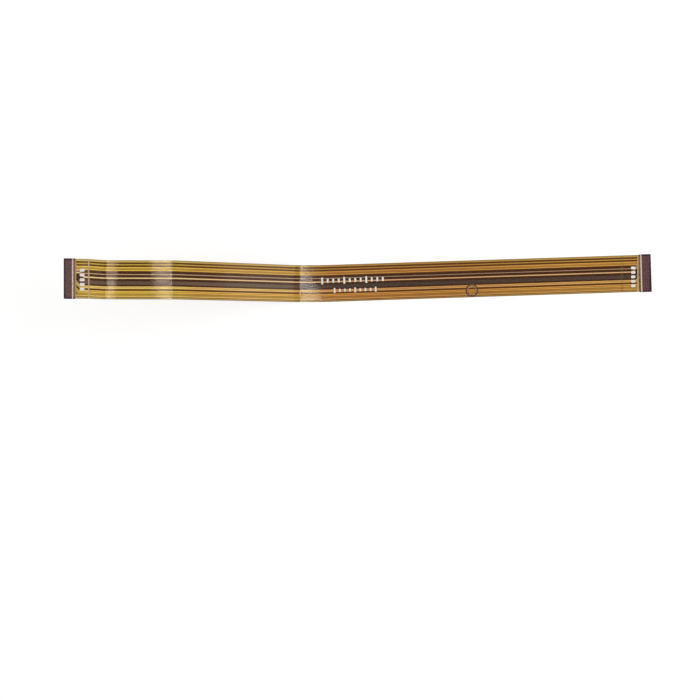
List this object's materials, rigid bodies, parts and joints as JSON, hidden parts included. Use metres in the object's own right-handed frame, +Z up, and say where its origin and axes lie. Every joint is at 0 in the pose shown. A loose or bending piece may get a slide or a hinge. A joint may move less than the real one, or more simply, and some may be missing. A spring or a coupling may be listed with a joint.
{
  "type": "flat flex cable",
  "caption": "Thin flat flexible cable with copper traces under amber film, bare contacts under both ends and a stiffener plate over each.",
  "frame": {"origin": "middle of the bounding box in plan, on the level that the flat stretch of the underside lies on", "axes": "+X along the cable towards the end of its long flat stretch, +Y towards the front edge, +Z up out of the side that carries the traces and stiffeners"},
  "size_m": [0.1504, 0.0128, 0.018],
  "materials": {
    "rear_coverlay": "amber polyimide film, satin, see-through",
    "front_coverlay": "amber polyimide film, satin, see-through",
    "base_film": "amber-brown polyimide film",
    "ground_copper": "copper sheet, darkened where it is laminated, gold flash on its contacts",
    "trace_copper": "etched copper with gold flash, satin",
    "stiffener": "dull purple-brown polyimide plate"
  },
  "bodies": {
    "root": {"rear_coverlay": "rear_coverlay", "ground_plane": "ground_copper", "base_film": "base_film", "front_coverlay": "front_coverlay", "conductor_01": "trace_copper", "conductor_02": "trace_copper", "conductor_03": "trace_copper", "conductor_04": "trace_copper", "conductor_05": "trace_copper", "conductor_06": "trace_copper", "conductor_07": "trace_copper", "conductor_08": "trace_copper", "conductor_09": "trace_copper", "conductor_10": "trace_copper", "conductor_11": "trace_copper", "conductor_12": "trace_copper", "conductor_13": "trace_copper", "conductor_14": "trace_copper", "conductor_15": "trace_copper", "left_stiffener": "stiffener", "right_stiffener": "stiffener"}
  },
  "joints": []
}
